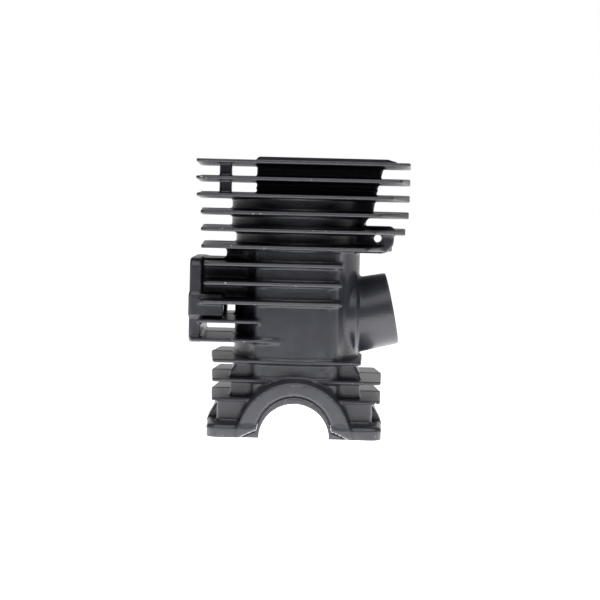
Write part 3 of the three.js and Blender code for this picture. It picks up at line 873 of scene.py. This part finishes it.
def rings_and_pegs():
    iron = metal("ground ring iron", (0.10, 0.10, 0.11), (0.20, 0.20, 0.21), 0.32)
    steel = metal("ground peg steel", (0.36, 0.36, 0.37), (0.48, 0.48, 0.49), 0.28)
    for level, angle in PEG_ANGLES.items():
        low, high = box_mm(f"piston_ring_{level}")
        profile = tube(PISTON_RADIUS - RING_DEPTH, RING_OUTER, low[2], high[2])
        half_gap = RING_HALF_GAP / RING_OUTER
        ring = revolved(profile, round_z, angle + half_gap, 2 * (math.pi - half_gap), 180)
        name = f"ground_ring_{level}"
        piece = finished_piece(name, ring, iron, "piston_group", 0.12)
        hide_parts(f"piston_ring_{level}")

        middle = (low[2] + high[2]) / 2
        toward = Vector((math.cos(angle), math.sin(angle), 0))
        aside = Vector((-math.sin(angle), math.cos(angle), 0))

        def place(radius, along, turn):
            point = toward * along + aside * radius * math.cos(turn)
            return (point.x, point.y, middle + radius * math.sin(turn))

        peg = revolved(tube(0.05, PEG_RADIUS, PEG_ROOT, PEG_END), place, steps=24)
        piece = finished_piece(f"ground_peg_{level}", peg, steel, "piston_group", 0.1)
        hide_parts(f"ring_peg_{level}")


def pin_and_clips():
    steel = metal("polished pin steel", (0.52, 0.52, 0.54), (0.68, 0.68, 0.70), 0.16, size=0.8)
    profile = tube(PIN_BORE, PIN_RADIUS, -PIN_END, PIN_END)
    pin = revolved(profile, round_pin_axis)
    piece = finished_piece("polished_gudgeon_pin", pin, steel, "pin", 0.5)
    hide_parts("gudgeon_pin")
    spring = metal("blued spring steel", (0.09, 0.10, 0.13), (0.20, 0.20, 0.23), 0.34)
    for side, end in ((-1, "front"), (1, "rear")):
        near, far = sorted((side * CLIP_LOW[1], side * CLIP_HIGH[1]))
        start = -math.pi / 2 + CLIP_HALF_GAP
        sweep = 2 * (math.pi - CLIP_HALF_GAP)
        profile = tube(CLIP_INNER, CLIP_RADIUS, near, far)
        clip = revolved(profile, round_pin_axis, start, sweep, 72)
        name = f"spring_clip_{end}"
        piece = finished_piece(name, clip, spring, "piston_group", 0.2)
        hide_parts(f"circlip_{end}")


# ---- Materials -----------------------------------------------------------------------------------


class Nodes:
    """A material under construction, with short calls for the nodes that it uses."""

    def __init__(self, name):
        self.material = bpy.data.materials.new(name)
        self.material.use_nodes = True
        self.tree = self.material.node_tree
        self.shader = self.tree.nodes["Principled BSDF"]
        self.place = self.tree.nodes.new("ShaderNodeTexCoord").outputs["Object"]

    def link(self, value, socket):
        if isinstance(value, bpy.types.NodeSocket):
            self.tree.links.new(value, socket)
        else:
            socket.default_value = value

    def noise(self, size, detail=3.0, rough=0.55, stretch=None):
        """Noise whose features are about size millimetres across."""
        node = self.tree.nodes.new("ShaderNodeTexNoise")
        node.inputs["Scale"].default_value = 1 / (size * MM)
        node.inputs["Detail"].default_value = detail
        node.inputs["Roughness"].default_value = rough
        place = self.place
        if stretch is not None:
            mapping = self.tree.nodes.new("ShaderNodeMapping")
            mapping.inputs["Scale"].default_value = stretch
            self.tree.links.new(place, mapping.inputs["Vector"])
            place = mapping.outputs["Vector"]
        self.tree.links.new(place, node.inputs["Vector"])
        return node.outputs["Fac"]

    def remap(self, value, low, high, to_low=0.0, to_high=1.0):
        node = self.tree.nodes.new("ShaderNodeMapRange")
        node.inputs["From Min"].default_value = low
        node.inputs["From Max"].default_value = high
        node.inputs["To Min"].default_value = to_low
        node.inputs["To Max"].default_value = to_high
        self.tree.links.new(value, node.inputs["Value"])
        return node.outputs["Result"]

    def maths(self, operation, a, b=0.5):
        node = self.tree.nodes.new("ShaderNodeMath")
        node.operation = operation
        self.link(a, node.inputs[0])
        self.link(b, node.inputs[1])
        return node.outputs["Value"]

    def mix(self, factor, a, b):
        node = self.tree.nodes.new("ShaderNodeMix")
        node.data_type = "RGBA"
        self.link(factor, node.inputs["Factor"])
        self.link(a, node.inputs["A"])
        self.link(b, node.inputs["B"])
        return node.outputs["Result"]

    def attribute(self, name):
        node = self.tree.nodes.new("ShaderNodeAttribute")
        node.attribute_name = name
        return node.outputs["Fac"]

    def bump(self, height, distance, strength=1.0, after=None):
        node = self.tree.nodes.new("ShaderNodeBump")
        node.inputs["Strength"].default_value = strength
        node.inputs["Distance"].default_value = distance * MM
        self.tree.links.new(height, node.inputs["Height"])
        if after is not None:
            self.tree.links.new(after, node.inputs["Normal"])
        return node.outputs["Normal"]

    def set(self, socket, value):
        self.link(value, self.shader.inputs[socket])


def black_coat():
    """Satin black coat on the rough skin of a die casting, chipped bare here and there at edges,
    and lighter grey along convex edges: partly coat rubbed thin, partly a painted highlight.
    """
    n = Nodes("black coat on die casting")
    patches = n.noise(9.0, detail=2.0)
    grain = n.noise(0.45, detail=2.0)
    base = n.mix(n.remap(patches, 0.35, 0.68), (0.020, 0.021, 0.030, 1), (0.029, 0.030, 0.042, 1))
    # Convex edges: lightened towards grey, partly as coat rubbed thin and partly as a painted
    # highlight for the sheen that rounded edges catch; the same mask places the bare nicks.
    edge_wear_and_highlight = n.remap(n.attribute("convexity"), 0.25, 1.1)
    base = n.mix(n.maths("MULTIPLY", edge_wear_and_highlight, 0.3), base, (0.095, 0.095, 0.10, 1))
    nicks = n.maths("MULTIPLY", edge_wear_and_highlight, n.remap(n.noise(1.3, detail=4.0), 0.70, 0.72))
    n.set("Base Color", n.mix(nicks, base, (0.70, 0.70, 0.71, 1)))
    n.set("Metallic", nicks)
    n.set("Roughness", n.remap(grain, 0.3, 0.7, 0.34, 0.44))
    n.set("Coat Weight", 0.35)
    n.set("Coat Roughness", 0.2)
    skin = n.bump(n.noise(2.4, detail=2.0), 0.06, 0.5)
    n.set("Normal", n.bump(grain, 0.025, 0.5, after=skin))
    return n.material


def machined_alloy():
    """Bare aluminium with the fine lines of a milling cutter."""
    n = Nodes("machined alloy")
    lines = n.noise(0.5, detail=3.0, stretch=(1.0, 0.08, 1.0))
    n.set("Base Color", n.mix(lines, (0.42, 0.42, 0.43, 1), (0.60, 0.60, 0.61, 1)))
    n.set("Metallic", 1.0)
    n.set("Roughness", n.remap(lines, 0.3, 0.7, 0.3, 0.46))
    n.set("Normal", n.bump(lines, 0.02, 0.5))
    return n.material


def plated_bore():
    """Grey nickel plating with honing marks."""
    n = Nodes("plated bore")
    honing = n.noise(0.35, detail=3.0, stretch=(1.0, 1.0, 0.2))
    n.set("Base Color", n.mix(honing, (0.30, 0.30, 0.31, 1), (0.44, 0.44, 0.45, 1)))
    n.set("Metallic", 1.0)
    n.set("Roughness", n.remap(honing, 0.3, 0.7, 0.22, 0.36))
    n.set("Normal", n.bump(honing, 0.01, 0.4))
    return n.material


def metal(name, dark, light, rough, size=0.4):
    """Ground or turned metal, with fine marks round its axis."""
    n = Nodes(name)
    marks = n.noise(size, detail=3.0, stretch=(0.15, 0.15, 1.0))
    n.set("Base Color", n.mix(marks, (*dark, 1), (*light, 1)))
    n.set("Metallic", 1.0)
    n.set("Roughness", n.remap(marks, 0.3, 0.7, rough * 0.8, rough * 1.25))
    n.set("Normal", n.bump(marks, 0.012, 0.5))
    return n.material


# ---- Stage, lights and camera --------------------------------------------------------------------


TABLE_HALF, TABLE_FRONT = 3.0, -0.3  # in metres
TABLE_HEIGHT = -0.0003  # in metres, just clear of the part's split face
GLOW_CENTRE = -0.12  # the Y at which the table is brightest, in metres
TABLE_GLOW = (0.1, 0.28, 2.6, 1.05)  # from and to which distance in metres, and how bright at each
ROOM_SHADE = (0.65, 0.99, 0.03, 0.65)  # from and to which Y of a direction, and how bright at each


def stage():
    """A plain white table that glows, most of all in front of the part, so that it stays pale."""
    mesh = bpy.data.meshes.new("table")
    half, front = TABLE_HALF, TABLE_FRONT - GLOW_CENTRE
    corners = ((-half, front), (half, front), (half, half), (-half, half))
    mesh.from_pydata([(x, y, TABLE_HEIGHT) for x, y in corners], [], [(0, 1, 2, 3)])
    table = bpy.data.objects.new("table", mesh)
    table.location = (0, GLOW_CENTRE, 0)
    bpy.context.scene.collection.objects.link(table)
    n = Nodes("pale table")
    n.set("Base Color", (0.6, 0.6, 0.6, 1))
    n.set("Roughness", 0.9)
    n.set("Emission Color", (1.0, 1.0, 1.0, 1))
    distance = n.tree.nodes.new("ShaderNodeVectorMath")
    distance.operation = "LENGTH"
    n.link(n.place, distance.inputs[0])
    n.set("Emission Strength", n.remap(distance.outputs["Value"], *TABLE_GLOW))
    mesh.materials.append(n.material)


def area_light(name, place, target, size, power):
    light = bpy.data.lights.new(name, "AREA")
    light.size = size
    light.energy = power
    lamp = bpy.data.objects.new(name, light)
    lamp.location = place
    aim = Vector(target) - Vector(place)
    lamp.rotation_euler = aim.to_track_quat("-Z", "Y").to_euler()
    bpy.context.scene.collection.objects.link(lamp)


def studio():
    """A room that is dark but for its far end, behind the part, and a soft lamp high in front.

    The dark shows only as reflections and shade: the camera sees white all round.
    """
    world = bpy.data.worlds.new("studio")
    world.use_nodes = True
    tree = world.node_tree
    background = tree.nodes["Background"]
    background.inputs["Color"].default_value = (1.0, 1.0, 1.0, 1)
    direction = tree.nodes.new("ShaderNodeTexCoord")
    parts = tree.nodes.new("ShaderNodeSeparateXYZ")
    tree.links.new(direction.outputs["Generated"], parts.inputs["Vector"])
    shade = tree.nodes.new("ShaderNodeMapRange")
    shade.interpolation_type = "SMOOTHSTEP"
    for socket, value in zip(("From Min", "From Max", "To Min", "To Max"), ROOM_SHADE):
        shade.inputs[socket].default_value = value
    tree.links.new(parts.outputs["Y"], shade.inputs["Value"])
    seen = tree.nodes.new("ShaderNodeLightPath")
    strength = tree.nodes.new("ShaderNodeMix")
    tree.links.new(seen.outputs["Is Camera Ray"], strength.inputs["Factor"])
    tree.links.new(shade.outputs["Result"], strength.inputs["A"])
    strength.inputs["B"].default_value = 1.0
    tree.links.new(strength.outputs["Result"], background.inputs["Strength"])
    bpy.context.scene.world = world
    area_light("overhead", (0.1, -0.55, 0.8), (0, 0, 0.05), 0.9, 5.2)


CAMERA_PLACE = (1.26, -640.0, 94.8)
CAMERA_PITCH, CAMERA_ROLL = 3.659, 1.405  # in degrees: how far it looks down and rolls


def camera():
    """Level with the upper fins and square to the crankshaft, a little rolled."""
    place = Vector(CAMERA_PLACE) * MM
    pitch, roll = math.radians(CAMERA_PITCH), math.radians(CAMERA_ROLL)
    forward = Vector((0, math.cos(pitch), -math.sin(pitch)))
    level = Vector((1, 0, 0))
    upright = level.cross(forward)
    right = level * math.cos(roll) + upright * math.sin(roll)
    up = upright * math.cos(roll) - level * math.sin(roll)
    data = bpy.data.cameras.new("camera")
    data.sensor_width = 36
    data.lens = 90
    eye = bpy.data.objects.new("camera", data)
    turn = Matrix((right, up, -forward)).transposed().to_4x4()
    eye.matrix_world = Matrix.Translation(place) @ turn
    bpy.context.scene.collection.objects.link(eye)
    bpy.context.scene.camera = eye
    bpy.context.scene.view_settings.view_transform = "Standard"


camera()
stage()
studio()
casting()
add_broken_coat()
piston()
rings_and_pegs()
pin_and_clips()
